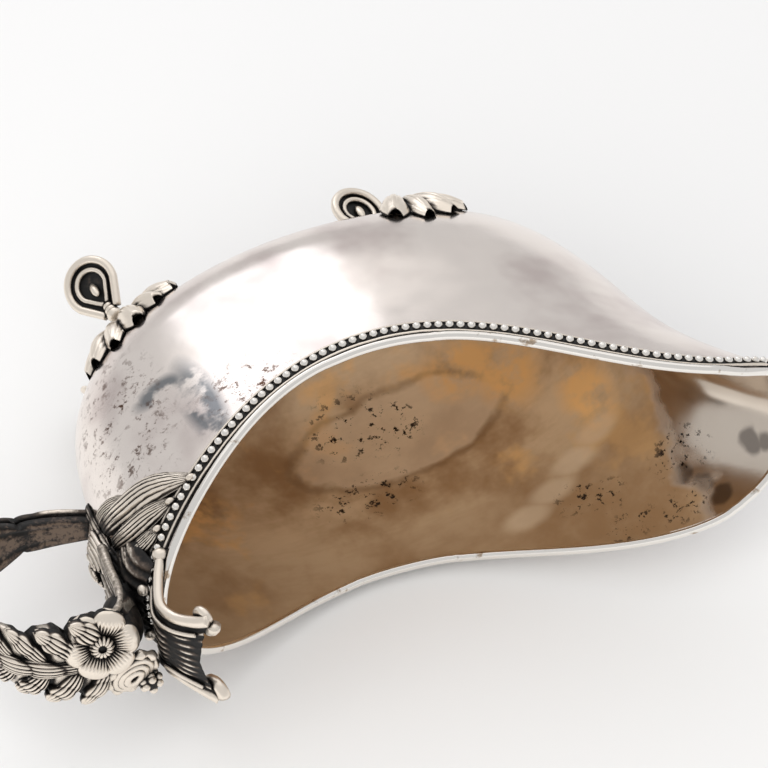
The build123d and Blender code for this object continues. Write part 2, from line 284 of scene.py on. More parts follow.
@dataclass(frozen=True)
class RaisedSilver(Finish):
    """Sheet silver raised with a hammer and polished, gilt inside: soft ripples, brown pits, worn gold, and painted
    reflections, highlights and a pool of light.
    """

    silver: str = "efe6df"
    haze: str = "d2c5c0"
    pit: str = "5a3f30"
    gilt: str = "d9bd99"
    gilt_dark: str = "a07d58"
    gilt_bright: str = "efbf80"
    bare: str = "d9cdbf"
    freckle: str = "20150f"
    gilding_ends: float = 128.0
    pitted: tuple[Stain, ...] = (Stain((11, 16, 54), (16, 18, 30)), Stain((36, 30, 67), (14, 12, 12)))
    # Painted reflection: blue-grey patches on the outside that stand in for dark surroundings seen in the silver.
    reflection_patches: tuple[Stain, ...] = (Stain((26.5, 27, 64), (5, 8, 18)), Stain((20, 25, 53), (8, 9, 4)))
    freckled: tuple[Stain, ...] = (
        Stain((70, -29, 28), (13, 10, 11)), Stain((78, -29, 31), (10, 10, 9)), Stain((66, -31, 48), (15, 9, 8)),
        Stain((105, -26, 74), (6, 8, 5)), Stain((111, -24, 78), (5, 8, 5)), Stain((112, -25, 88), (7, 8, 5)),
        Stain((123, -21, 91), (8, 8, 5)), Stain((128, -17, 80), (9, 8, 8)))
    # Painted pool of light on the gilt wall inside.
    lit_pool: Stain = Stain((80, -29, 35), (34, 16, 15))
    # Painted highlight: a lighter streak across the gilding inside.
    highlight_streak: tuple[Stain, ...] = (
        Stain((94, -28, 72), (9, 8, 5)), Stain((101, -26, 69), (9, 8, 5)), Stain((108, -23, 65), (9, 8, 5)),
        Stain((115, -19, 62), (9, 8, 5)))
    # Painted glow: lighter gold patches that stand in for light on the gilding inside.
    glow: tuple[Stain, ...] = (
        Stain((106, -21, 33), (10, 9, 14)), Stain((98, -22, 27), (12, 9, 9)), Stain((30, -25, 43), (9, 8, 9)),
        Stain((118, -18, 52), (8, 8, 12)))
    shade: tuple[Stain, ...] = (
        Stain((126, -19, 84), (4, 5, 4)), Stain((129, -19, 89), (4, 5, 4)), Stain((131, -19, 94), (4, 5, 4)),
        Stain((140, -11, 89), (4, 5, 6)), Stain((142, -9, 92), (4, 5, 5)))

    def paint(self, pattern: Pattern, shader: bpy.types.Node) -> None:
        """Mixes the outside's silver and the inside's worn gilding by which way the sheet faces."""
        tree = pattern.tree
        place = pattern.place()
        normal = add(tree, "ShaderNodeNewGeometry").outputs["True Normal"]
        middle = add(tree, "ShaderNodeVectorMath", {0: place, 1: at(68, 0, 75) * MM}, operation="SUBTRACT")
        facing = add(tree, "ShaderNodeVectorMath", {0: normal, 1: middle.outputs[0]}, operation="DOT_PRODUCT")
        inside = pattern.maths("LESS_THAN", facing.outputs["Value"], 0.0)
        inner, bare = self.gilding(pattern, place)
        colour = pattern.mix(inside, self.outside(pattern), inner)
        tree.links.new(colour, shader.inputs["Base Color"])
        satin = pattern.maths("MULTIPLY", inside, pattern.maths("SUBTRACT", 1.0, bare))
        tree.links.new(pattern.maths("MULTIPLY_ADD", satin, -0.8, 1.0), shader.inputs["Metallic"])
        polish = pattern.maths("MULTIPLY_ADD", pattern.grain(12, 3), 0.20, 0.10)
        tree.links.new(pattern.maths("MULTIPLY_ADD", satin, 0.26, polish), shader.inputs["Roughness"])
        ripples = pattern.bump(pattern.grain(13, 1), 0.28)
        fine = pattern.bump(pattern.grain(1.2, 3, Vector((1, 1, 3))), 0.008, ripples)
        tree.links.new(fine, shader.inputs["Normal"])

    def outside(self, pattern: Pattern) -> Socket:
        """Warm silver with brown pits near the rear and a painted blue-grey reflection beside them."""
        spots = pattern.step(pattern.grain(2.6, 7, rough=0.8), 0.53, 0.58)
        patchy = pattern.step(pattern.grain(7, 3), 0.38, 0.52)
        where = self.together(pattern, self.pitted, 1.6)
        worn = pattern.maths("MULTIPLY", pattern.maths("MULTIPLY", spots, patchy), where, clamp=True)
        stray = pattern.maths("MULTIPLY", pattern.step(pattern.grain(1.6, 5, rough=0.7), 0.70, 0.73), 0.5)
        colour = pattern.mix(pattern.step(pattern.grain(22, 3), 0.42, 0.72), self.silver, self.haze)
        cloudy = pattern.step(pattern.grain(9, 4), 0.38, 0.50)
        # Painted blue-grey reflection, broken up by noise.
        painted_reflection = pattern.maths("MULTIPLY", self.together(pattern, self.reflection_patches, 2.2), cloudy)
        colour = pattern.mix(pattern.maths("MULTIPLY", painted_reflection, 0.8), colour, "59636b")
        return pattern.mix(pattern.maths("MAXIMUM", worn, stray), colour, self.pit)

    def gilding(self, pattern: Pattern, place: Socket) -> tuple[Socket, Socket]:
        """Worn gilding, a paler painted pool of light on the wall, a painted highlight streak and glow, black
        freckles, and bare silver towards the spout.

        Args:
            pattern: the node tree.
            place: object coordinates.

        Returns:
            The colour, and where the silver is bare.
        """
        cloudy = pattern.step(pattern.grain(30, 5, rough=0.6), 0.36, 0.60)
        gold = pattern.mix(cloudy, self.gilt_dark, self.gilt)
        patches = pattern.maths("MULTIPLY", pattern.step(pattern.grain(19, 4), 0.54, 0.66), 0.75)
        gold = pattern.mix(patches, gold, self.gilt_bright)
        brushed = pattern.step(pattern.grain(5, 5, Vector((0.35, 1, 1.6)), 0.65), 0.40, 0.68)
        gold = pattern.mix(pattern.maths("MULTIPLY", brushed, 0.22), gold, self.gilt_dark)
        height = add(pattern.tree, "ShaderNodeSeparateXYZ", {0: place}).outputs["Z"]
        upper = pattern.maths("MULTIPLY", pattern.step(height, 46 * MM, 72 * MM), 0.6)
        gold = pattern.mix(upper, gold, "8d6f50")
        uneven = pattern.maths("MULTIPLY_ADD", pattern.grain(9, 3), 0.3, -0.15)
        # Painted pool of light on the wall, with a darker edge round it.
        edge = pattern.maths("ADD", self.lit_pool.mask(pattern), uneven)
        pool = pattern.step(edge, 0.20, 0.30)
        rim = pattern.maths("MULTIPLY", pattern.step(edge, 0.12, 0.20), pattern.maths("SUBTRACT", 1.0, pool))
        gold = pattern.mix(pattern.maths("MULTIPLY", pool, 0.55), gold, "e2cbae")
        gold = pattern.mix(pattern.maths("MULTIPLY", rim, 0.35), gold, "6a5038")
        along = add(pattern.tree, "ShaderNodeSeparateXYZ", {0: place}).outputs["X"]
        ragged = pattern.maths("MULTIPLY_ADD", pattern.maths("SUBTRACT", pattern.grain(14, 3), 0.5), 22 * MM, along)
        ends = (REAR_WALL + self.gilding_ends) * MM
        bare = pattern.step(ragged, ends - 4 * MM, ends + 2 * MM)
        # Painted highlight streak.
        lit = pattern.step(self.together(pattern, self.highlight_streak, 1.5), 0.2, 1.0)
        gold = pattern.mix(pattern.maths("MULTIPLY", lit, 0.4), gold, "e8d2b4")
        # Painted glow patches, broken up by noise.
        broken = pattern.step(pattern.grain(8, 4), 0.35, 0.6)
        painted_glow = pattern.maths("MULTIPLY", self.together(pattern, self.glow, 1.8), broken)
        gold = pattern.mix(painted_glow, gold, self.gilt_bright)
        inner = pattern.mix(bare, gold, self.bare)
        wavy = pattern.maths("MULTIPLY_ADD", pattern.grain(6, 2), 1.2, -0.6)
        band = pattern.step(pattern.maths("ADD", self.together(pattern, self.shade, 1.3), wavy), 0.35, 0.8)
        shaded = pattern.maths("MULTIPLY", band, pattern.maths("MULTIPLY", bare, 0.75))
        inner = pattern.mix(shaded, inner, "6a625d")
        dots = pattern.step(pattern.grain(2.0, 5, rough=0.72), 0.57, 0.60)
        spots = pattern.maths("MULTIPLY", dots, self.together(pattern, self.freckled, 2.2), clamp=True)
        return pattern.mix(spots, inner, self.freckle), bare

    @staticmethod
    def together(pattern: Pattern, stains: Sequence[Stain], strength: float) -> Socket:
        """The strongest of several marks at each place, scaled.

        Args:
            pattern: the node tree.
            stains: the marks.
            strength: what the result is multiplied by, before it is kept within 0 and 1.

        Returns:
            A value from 0 to 1.
        """
        value = stains[0].mask(pattern)
        for stain in stains[1:]:
            value = pattern.maths("MAXIMUM", value, stain.mask(pattern))
        return pattern.maths("MULTIPLY", value, strength, clamp=True)


@dataclass(frozen=True)
class BurnishedWire(Finish):
    """Drawn silver wire, burnished: near-mirror with faint dents along it."""

    silver: str = "f3efe9"

    def paint(self, pattern: Pattern, shader: bpy.types.Node) -> None:
        """Bright metal with soft dents and a few tarnished spots."""
        spots = pattern.step(pattern.grain(3, 4), 0.62, 0.74)
        pattern.tree.links.new(pattern.mix(spots, self.silver, "b3a08c"), shader.inputs["Base Color"])
        shader.inputs["Metallic"].default_value = 1.0
        shader.inputs["Roughness"].default_value = 0.16
        pattern.tree.links.new(pattern.bump(pattern.grain(5, 2), 0.05), shader.inputs["Normal"])


@dataclass(frozen=True)
class CastSilver(Finish):
    """Cast silver: cream-bright where fingers polish it, sulphide-black in the recesses."""

    high: str = "efe4d6"
    mid: str = "4d423a"
    low: str = "0b0908"
    polish: float = 0.9
    dark_share: float = 0.0
    mottle: float = 0.55

    def paint(self, pattern: Pattern, shader: bpy.types.Node) -> None:
        """Colours the relief by the height stored on it and by how shut in each spot is."""
        tree = pattern.tree
        depth = add(tree, "ShaderNodeAttribute", attribute_name="relief").outputs["Fac"]
        open_air = add(tree, "ShaderNodeAmbientOcclusion", {"Distance": 2.5 * MM}, samples=8).outputs["AO"]
        rubbed = pattern.maths("MULTIPLY", depth, pattern.step(open_air, 0.45, 0.98))
        speckle = pattern.maths("SUBTRACT", pattern.grain(1.3, 4, rough=0.7), 0.5 + self.dark_share)
        worn = pattern.maths("MULTIPLY_ADD", speckle, self.mottle, rubbed)
        colour = pattern.mix(pattern.step(worn, 0.15, 0.42), self.low, self.mid)
        colour = pattern.mix(pattern.step(worn, 0.40, 0.72), colour, self.high)
        tree.links.new(colour, shader.inputs["Base Color"])
        bright = pattern.step(worn, 0.35, 0.7)
        tree.links.new(pattern.maths("MULTIPLY_ADD", bright, self.polish - 0.15, 0.15), shader.inputs["Metallic"])
        tree.links.new(pattern.maths("MULTIPLY_ADD", bright, -0.30, 0.58), shader.inputs["Roughness"])
        chased = pattern.bump(depth, 0.30)
        tree.links.new(pattern.bump(pattern.grain(0.8, 3), 0.05, chased), shader.inputs["Normal"])


@dataclass(frozen=True)
class PaleSweep(Finish):
    """Matt studio paper: an even pale ground that is only there from its upper side."""

    colour: str = "efefef"

    def paint(self, pattern: Pattern, shader: bpy.types.Node) -> None:
        """Matt white seen from above, nothing from below."""
        tree = pattern.tree
        shader.inputs["Base Color"].default_value = linear(self.colour)
        shader.inputs["Roughness"].default_value = 0.7
        behind = add(tree, "ShaderNodeNewGeometry").outputs["Backfacing"]
        clear = add(tree, "ShaderNodeBsdfTransparent")
        both = add(tree, "ShaderNodeMixShader", {0: behind, 1: shader.outputs[0], 2: clear.outputs[0]})
        output = next(node for node in tree.nodes if node.bl_idname == "ShaderNodeOutputMaterial")
        tree.links.new(both.outputs[0], output.inputs["Surface"])


RAISED = RaisedSilver("raised_silver_gilt_inside")
WIRE = BurnishedWire("burnished_silver_wire")
CAST = CastSilver("chased_silver_blackened")
DARK_CAST = CastSilver("tarnished_cast_silver", high="6a5a4d", mid="3a2f28", low="0d0b09", polish=0.5,
                       dark_share=0.12, mottle=2.6)


# ----------------------------------------------------------------------------------------------
# Paths, the bowl's surface, and meshes
# ----------------------------------------------------------------------------------------------
def sided(points: Path, side: Side) -> Path:
    """The same points on that side of the middle plane."""
    return [Vector((p.x, p.y * side.value, p.z)) for p in points]


def spline(values: Sequence) -> Callable:
    """Smooth function through evenly spaced values.

    Args:
        values: two or more numbers or vectors.

    Returns:
        A function of a share from 0 to 1.
    """
    last = len(values) - 1

    def value(share: float) -> Union[float, Vector]:
        """The value at a share of the way."""
        whole = min(max(share, 0.0), 1.0) * last
        i = min(int(whole), last - 1)
        u = whole - i
        a, b, c, d = values[max(i - 1, 0)], values[i], values[i + 1], values[min(i + 2, last)]
        return 0.5 * (2 * b + (c - a) * u + (2 * a - 5 * b + 4 * c - d) * u * u + (3 * b - a - 3 * c + d) * u ** 3)

    return value


def even(points: Path, count: int, closed: bool = False) -> Path:
    """Points at even spacing along a polyline.

    Args:
        points: the polyline.
        count: how many points come back.
        closed: whether the last point joins the first.

    Returns:
        The evenly spaced points.
    """
    line = points + points[:1] if closed else points
    runs = [0.0]
    for a, b in zip(line, line[1:]):
        runs.append(runs[-1] + (b - a).length)
    made, i = [], 0
    for k in range(count):
        want = runs[-1] * k / (count if closed else count - 1)
        while i < len(line) - 2 and runs[i + 1] < want:
            i += 1
        span = runs[i + 1] - runs[i] or 1.0
        made.append(line[i].lerp(line[i + 1], (want - runs[i]) / span))
    return made


def smooth(points: Path, count: int) -> Path:
    """Evenly spaced points on a smooth line through a few places."""
    line = spline(points)
    return even([line(i / (4 * count)) for i in range(4 * count + 1)], count)


def ridge(value: float, centre: float, width: float) -> float:
    """Rounded ridge of height 1 at a centre."""
    return math.exp(-((value - centre) / width) ** 2)


def turned_to(out: Vector) -> Matrix:
    """Turns +Z to a direction."""
    return UP.rotation_difference(out).to_matrix().to_4x4()


@dataclass
class Bowl:
    """The outer surface of the bowl, read from the CAD body."""

    tree: BVHTree = field(init=False)
    axis: Vector = field(init=False)

    def __post_init__(self) -> None:
        """Reads the mesh, in millimetres."""
        bm = bmesh.new()
        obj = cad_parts["body"]
        bm.from_mesh(obj.data)
        bmesh.ops.transform(bm, matrix=Matrix.Scale(1 / MM, 4) @ obj.matrix_world, verts=bm.verts)
        self.tree = BVHTree.FromBMesh(bm)
        bm.free()
        self.axis = Vector(((LOW.x + HIGH.x) / 2 - 4, 0.0, 0.0))

    def seat(self, point: Vector, lift: float = 0.0) -> tuple[Vector, Vector]:
        """The nearest place on the bowl and the way it faces.

        Args:
            point: a point outside the bowl.
            lift: how far above the surface the place is.

        Returns:
            The place and its outward normal.
        """
        where, normal, _, _ = self.tree.find_nearest(point)
        if (point - where).dot(normal) < 0:
            normal = -normal
        return where + normal * lift, normal

    def edge(self, count: int) -> tuple[Path, Path]:
        """The top edge of the wall, all the way round.

        Args:
            count: how many places.

        Returns:
            Places at the middle of the edge, and the way the wall faces at each.
        """
        places, facing = [], []
        for i in range(count):
            turn = 2 * math.pi * i / count
            ray = Vector((math.cos(turn), math.sin(turn), 0.0))
            low, high = TABLE_TO_BOWL + 40, HIGH.z + 2
            for _ in range(18):
                level = (low + high) / 2
                found = self.tree.ray_cast(Vector((self.axis.x, 0.0, level)), ray)[0]
                low, high = (level, high) if found else (low, level)
            inner = self.tree.ray_cast(Vector((self.axis.x, 0.0, low - 0.05)), ray)[0]
            outer = self.tree.ray_cast(Vector((self.axis.x, 0.0, low - 0.05)) + ray * 200, -ray)[0]
            places.append((inner + outer) / 2)
            facing.append(ray)
        places = even(places, count, closed=True)
        normals = []
        for i, place in enumerate(places):
            run = (places[(i + 1) % count] - places[i - 1]).normalized()
            out = run.cross(UP).normalized()
            normals.append(out if out.dot(place - self.axis) > 0 else -out)
        return places, normals


@dataclass
class Shape:
    """A mesh being built in millimetres; each point also keeps the height of its relief."""

    name: str
    bm: bmesh.types.BMesh = field(default_factory=bmesh.new)

    def __post_init__(self) -> None:
        """Makes the layer that keeps the relief."""
        self.relief = self.bm.verts.layers.float.new("relief")

    def surface(self, place: Callable[[float, float], tuple[Vector, float]], along: int = 24, across: int = 12,
                thickness: float = 0.8) -> None:
        """Adds a sheet of even thickness.

        Args:
            place: from (share along 0..1, share across -1..1) to a point and its relief.
            along: cells along.
            across: cells across.
            thickness: how thick the sheet is, in millimetres.
        """
        made = bmesh.ops.create_grid(self.bm, x_segments=along, y_segments=across, size=1.0)["verts"]
        self._put(made, place)
        faces = list({face for vert in made for face in vert.link_faces})
        bmesh.ops.solidify(self.bm, geom=faces, thickness=thickness)

    def tube(self, path: Path, radius: Callable[[float], float], facing: Optional[Path] = None, flat: float = 1.0,
             closed: bool = False, around: int = 12, relief: float = 1.0) -> None:
        """Adds a solid rod along a path.

        Args:
            path: points along the middle.
            radius: half-width by share along.
            facing: the way the rod's flat side faces at each point.
            flat: height of the section over its width.
            closed: whether the path is a loop.
            around: cells round the section.
            relief: the height stored on the rod.
        """
        count = len(path)
        last = count - (0 if closed else 1)
        runs = [(path[(i + 1) % count] - path[i - 1]) if closed or 0 < i < count - 1
                else (path[min(i + 1, count - 1)] - path[max(i - 1, 0)]) for i in range(count)]
        fronts: Path = []
        front = facing[0] if facing else runs[0].orthogonal()
        for i, run in enumerate(runs):
            front = facing[i] if facing else front
            front = (front - run * front.dot(run) / run.length_squared).normalized()
            fronts.append(front)

        def place(share: float, turn: float) -> tuple[Vector, float]:
            """A point on the skin of the rod."""
            i = round(share * last) % count
            side = runs[i].cross(fronts[i]).normalized()
            size = radius(share)
            angle = math.pi * turn
            return path[i] + fronts[i] * math.cos(angle) * size * flat + side * math.sin(angle) * size, relief

        made = bmesh.ops.create_grid(self.bm, x_segments=last, y_segments=around, size=1.0)["verts"]
        self._put(made, place)
        bmesh.ops.remove_doubles(self.bm, verts=made, dist=1e-4)
        ends = [edge for edge in self.bm.edges if edge.is_boundary]
        if ends:
            bmesh.ops.holes_fill(self.bm, edges=ends)

    def ball(self, centre: Vector, radius: float, squash: Vector = Vector((1, 1, 1)), turn: Optional[Matrix] = None,
             relief: float = 1.0, fine: int = 2) -> None:
        """Adds a round or squashed ball.

        Args:
            centre: its middle.
            radius: its radius.
            squash: scale along its own axes.
            turn: a rotation, if it has one.
            relief: the height stored on it.
            fine: how finely it is divided.
        """
        matrix = Matrix.Translation(centre) @ (turn or Matrix()) @ Matrix.Diagonal((*squash, 1.0))
        made = bmesh.ops.create_icosphere(self.bm, subdivisions=fine, radius=radius, matrix=matrix)["verts"]
        for vert in made:
            vert[self.relief] = relief

    def _put(self, verts: Iterable[bmesh.types.BMVert], place: Callable[[float, float], tuple[Vector, float]]) -> None:
        """Moves a flat grid's points to their places."""
        for vert in verts:
            vert.co, vert[self.relief] = place((vert.co.x + 1) / 2, vert.co.y)

    def _face_outwards(self) -> None:
        """Turns the faces of each separate shell outwards, by the sign of the shell's volume."""
        bmesh.ops.recalc_face_normals(self.bm, faces=self.bm.faces)
        self.bm.normal_update()
        left = set(self.bm.faces)
        for first in self.bm.faces:
            if first not in left:
                continue
            left.remove(first)
            shell = [first]
            for face in shell:
                joined = {other for edge in face.edges for other in edge.link_faces} & left
                left -= joined
                shell.extend(joined)
            corner = first.verts[0].co
            volume = sum((f.calc_center_median() - corner).dot(f.normal) * f.calc_area() for f in shell)
            if volume < 0:
                bmesh.ops.reverse_faces(self.bm, faces=shell)

    def finish(self, finish: Finish, *nodes: str, slot: str = "oxidised_cast_silver") -> bpy.types.Object:
        """Writes the mesh as a piece that rides on the boat.

        Args:
            finish: its surface finish.
            nodes: the CAD nodes it stands for.
            slot: not used.

        Returns:
            The new object.
        """
        bmesh.ops.scale(self.bm, vec=Vector((MM, MM, MM)), verts=self.bm.verts)
        self._face_outwards()
        mesh = bpy.data.meshes.new(self.name)
        self.bm.to_mesh(mesh)
        self.bm.free()
        mesh.shade_smooth()
        mesh.materials.append(finish.build())
        obj = bpy.data.objects.new(self.name, mesh)
        bpy.context.scene.collection.objects.link(obj)
        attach(obj, "root")
        if nodes:
            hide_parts(*nodes)
        LOG.info("%s: %d faces", self.name, len(mesh.polygons))
        return obj


@dataclass
class Leaf:
    """A chased leaf: a lobed blade with a midrib and veins, free or lying on the bowl."""

    spine: Path
    facing: Path
    halves: Sequence[float]
    lobes: float = 3.0
    notch: float = 0.3
    relief: float = 0.8
    sweep: float = 0.5
    arch: float = 0.25
    veins: float = 0.0
    grooves: float = 5.0
    clean: float = 1.8
    thickness: float = 0.8
    bowl: Optional[Bowl] = None

    def add(self, shape: Shape, along: int = 36, across: int = 16) -> None:
        """Adds the leaf to a shape.

        Args:
            shape: the shape that gets it.
            along: cells along.
            across: cells across.
        """
        line, front, half = spline(self.spine), spline(self.facing), spline(self.halves)

        def place(share: float, turn: float) -> tuple[Vector, float]:
            """A point of the leaf and its relief."""
            run = (line(min(share + 0.02, 1.0)) - line(max(share - 0.02, 0.0))).normalized()
            normal = front(share).normalized()
            side = normal.cross(run).normalized()
            out = abs(turn)
            lobe = abs(math.sin(math.pi * self.lobes * share)) ** 0.6 if self.lobes else 1.0
            reach = half(share) * (1 - self.notch * (1 - lobe) * out ** 2)
            point = line(share) + side * turn * reach + run * self.sweep * out * out * half(share)
            cuts = 0.8 * (0.5 - 0.5 * math.cos(math.pi * self.grooves * turn)) ** 5 if self.grooves else 0.0
            if self.veins:
                wave = 0.5 - 0.5 * math.cos(2 * math.pi * self.veins * self.lobes * share)
                cuts = max(cuts, 0.75 * min(1.0, out * 3) * wave ** 3)
            fade = min(1.0, (1 - share) * self.clean)
            height = 0.45 + 0.55 * lobe - cuts * fade - 0.35 * out ** 8 - 0.5 * ridge(share, 0.0, 0.16)
            lift = self.relief * height + self.arch * half(share) * (1 - out * out)
            if self.bowl:
                point, normal = self.bowl.seat(point + normal * 2, lift)
            else:
                point = point + normal * lift
            return point, min(1.0, max(0.0, 1.25 * height - 0.12))

        shape.surface(place, along, across, self.thickness)


# ----------------------------------------------------------------------------------------------
# Rim
# ----------------------------------------------------------------------------------------------
@dataclass
class Rim:
    """The plain wire on the edge and the beaded strip under it."""

    bowl: Bowl
    wire_half: float = 1.05
    wire_flat: float = 0.8
    pitch: float = 2.3
    bead: float = 0.95
    strip_drop: float = 2.35
    strip_half: float = 1.75
    stations: int = 420

    def __post_init__(self) -> None:
        """Finds the edge of the wall once."""
        self.edge, self.facing = self.bowl.edge(self.stations)

    def under(self, drop: float, lift: float) -> tuple[Path, Path]:
        """A line on the outside, a little under the edge.

        Args:
            drop: how far under the edge.
            lift: how far it stands off the surface.

        Returns:
            The line's points and the way the surface faces there.
        """
        places, normals = [], []
        for i, (point, out) in enumerate(zip(self.edge, self.facing)):
            run = (self.edge[(i + 1) % self.stations] - self.edge[i - 1]).normalized()
            down = run.cross(out).normalized()
            down = down if down.z < 0 else -down
            place, normal = self.bowl.seat(point + out * 3 + down * drop, lift)
            places.append(place)
            normals.append(normal)
        return places, normals

    def build(self) -> None:
        """Makes the wire, the strip with its two thin wires, and the beads."""
        wire = Shape("rim_bright_wire")
        lifted = [point + UP * 0.35 for point in self.edge]
        wire.tube(lifted, lambda share: self.wire_half, [UP] * self.stations, self.wire_flat, closed=True, around=20)
        wire.finish(WIRE, "rim_wire", slot="bright_wire")

        strip = Shape("rim_border_channel")
        line, normals = self.under(self.strip_drop, 0.05)
        strip.tube(line, lambda share: self.strip_half, normals, 0.22, closed=True, around=12, relief=0.1)
        strip.finish(CAST, "bead_border", slot="beaded_silver")

        wires = Shape("rim_border_wires")
        for drop in (self.strip_drop - self.strip_half + 0.25, self.strip_drop + self.strip_half - 0.1):
            line, normals = self.under(drop, 0.35)
            wires.tube(line, lambda share: 0.42, normals, closed=True, around=8, relief=0.85)
        wires.finish(CAST, slot="beaded_silver")

        beads = Shape("rim_beads")
        line = self.under(self.strip_drop, 0.55)[0]
        total = sum((b - a).length for a, b in zip(line, line[1:] + line[:1]))
        for point in even(line, round(total / self.pitch), closed=True):
            beads.ball(self.bowl.seat(point, 0.75)[0], self.bead)
        beads.finish(WIRE, slot="beaded_silver")


# ----------------------------------------------------------------------------------------------
# Handle
# ----------------------------------------------------------------------------------------------
LOOP = [at(*place) for place in (
    (1.0, 0, 87.1), (-5.0, 0, 94.6), (-12.0, 0, 98.0), (-19.0, 0, 97.0), (-25.5, 0, 93.0), (-30.2, 0, 86.0),
    (-31.8, 0, 78.0), (-30.6, 0, 69.0), (-26.0, 0, 61.5), (-19.0, 0, 58.6), (-9.0, 0, 59.4), (2.0, 0, 63.0))]


def loop_facing(points: Path, inward: bool = False) -> Path:
    """The way the loop's outer face looks at each point of a line along it.

    Args:
        points: places along the loop, from the grip's root round to the rear wall.
        inward: whether the inner face is meant.

    Returns:
        One direction for each place.
    """
    made = []
    for i in range(len(points)):
        run = points[min(i + 1, len(points) - 1)] - points[max(i - 1, 0)]
        out = Vector((run.z, 0.0, -run.x)).normalized()
        made.append(-out if inward else out)
    return made


@dataclass
class Grip:
    """The upper arm: a band of acanthus leaves that runs back from the rim."""

    halves: Sequence[float] = (6.5, 9.0, 11.0, 9.5, 8.0, 7.0, 6.0)
    thickness: float = 2.6
    reach: int = 7
    pairs: Sequence = ((0.28, 0.16, 2.6), (0.42, 0.17, 2.7), (0.56, 0.16, 2.4), (0.70, 0.15, 2.2),
                       (0.83, 0.14, 1.9))       # each pair's start, reach and half-width

    def build(self) -> None:
        """Makes the band and the leaves that lie on it."""
        line = LOOP[:self.reach]
        band = Shape("grip_band")
        Leaf(line, loop_facing(line), self.halves, lobes=5, notch=0.35, relief=0.8, sweep=0.25, arch=0.1, veins=2,
             grooves=0, thickness=self.thickness).add(band, 140, 36)
        self.leaves(band)
        band.finish(CAST, "handle_grip")

    def leaves(self, shape: Shape) -> None:
        """Adds pairs of leaves whose tips reach past the band's edges, and one long leaf down the middle.

        Args:
            shape: the shape that gets them.
        """
        line, half = spline(LOOP[:self.reach]), spline(self.halves)
        front = spline(loop_facing(LOOP[:self.reach]))
        for start, reach, size in self.pairs:
            for side in Side:
                spine, facing = [], []
                for step in range(4):
                    share = start + reach * step / 3
                    out = half(share) * (0.12 + 0.98 * (step / 3) ** 0.8)
                    lift = 1.5 - 1.0 * abs(step / 3 - 0.35)
                    spine.append(line(share) + Vector((0, side.value * out, 0)) + front(share) * lift)
                    facing.append((front(share) + Vector((0, side.value * 0.35 * step / 3, 0))).normalized())
                Leaf(spine, facing, (size * 0.5, size, size * 0.85, size * 0.15), lobes=3, notch=0.3, relief=0.7,
                     sweep=0.6, arch=0.3, grooves=5, thickness=0.8).add(shape, 40, 28)
        shares = (0.36, 0.52, 0.68, 0.84, 0.99)
        spine = [line(share) + front(share) * 1.7 for share in shares]
        facing = [front(share) for share in shares]
        Leaf(spine, facing, (1.2, 2.4, 2.6, 2.0, 0.7), lobes=5, notch=0.35, relief=0.8, sweep=0.8, arch=0.35,
             grooves=6, thickness=0.8).add(shape, 70, 28)


@dataclass
class LowerArm:
    """The lower arm: a strap that is plain and tarnished inside the loop and leafy outside."""

    halves: Sequence[float] = (6.0, 6.6, 6.8, 6.6, 6.0, 3.6, 2.6)
    start: int = 6
    thickness: float = 1.9

    def build(self) -> None:
        """Makes the strap's inner face and the leaves on its outer face."""
        line = LOOP[self.start - 1:]
        plain = Shape("lower_arm_inner_face")
        inward = loop_facing(line, inward=True)
        Leaf([p + n * 0.4 for p, n in zip(line, inward)], inward, self.halves, lobes=4, notch=0.35, relief=0.35,
             sweep=-0.2, arch=-0.04, grooves=2, thickness=self.thickness).add(plain, 80, 24)
        plain.finish(DARK_CAST, "handle_lower_arm")
        leafy = Shape("lower_arm_leaves")
        outward = loop_facing(line)
        Leaf([p + n * 1.6 for p, n in zip(line, outward)], outward, [h * 0.97 for h in self.halves], lobes=4,
             notch=0.3, relief=1.1, sweep=-0.3, arch=0.08, veins=2, grooves=0, thickness=1.4).add(leafy, 140, 36)
        leafy.finish(CAST)


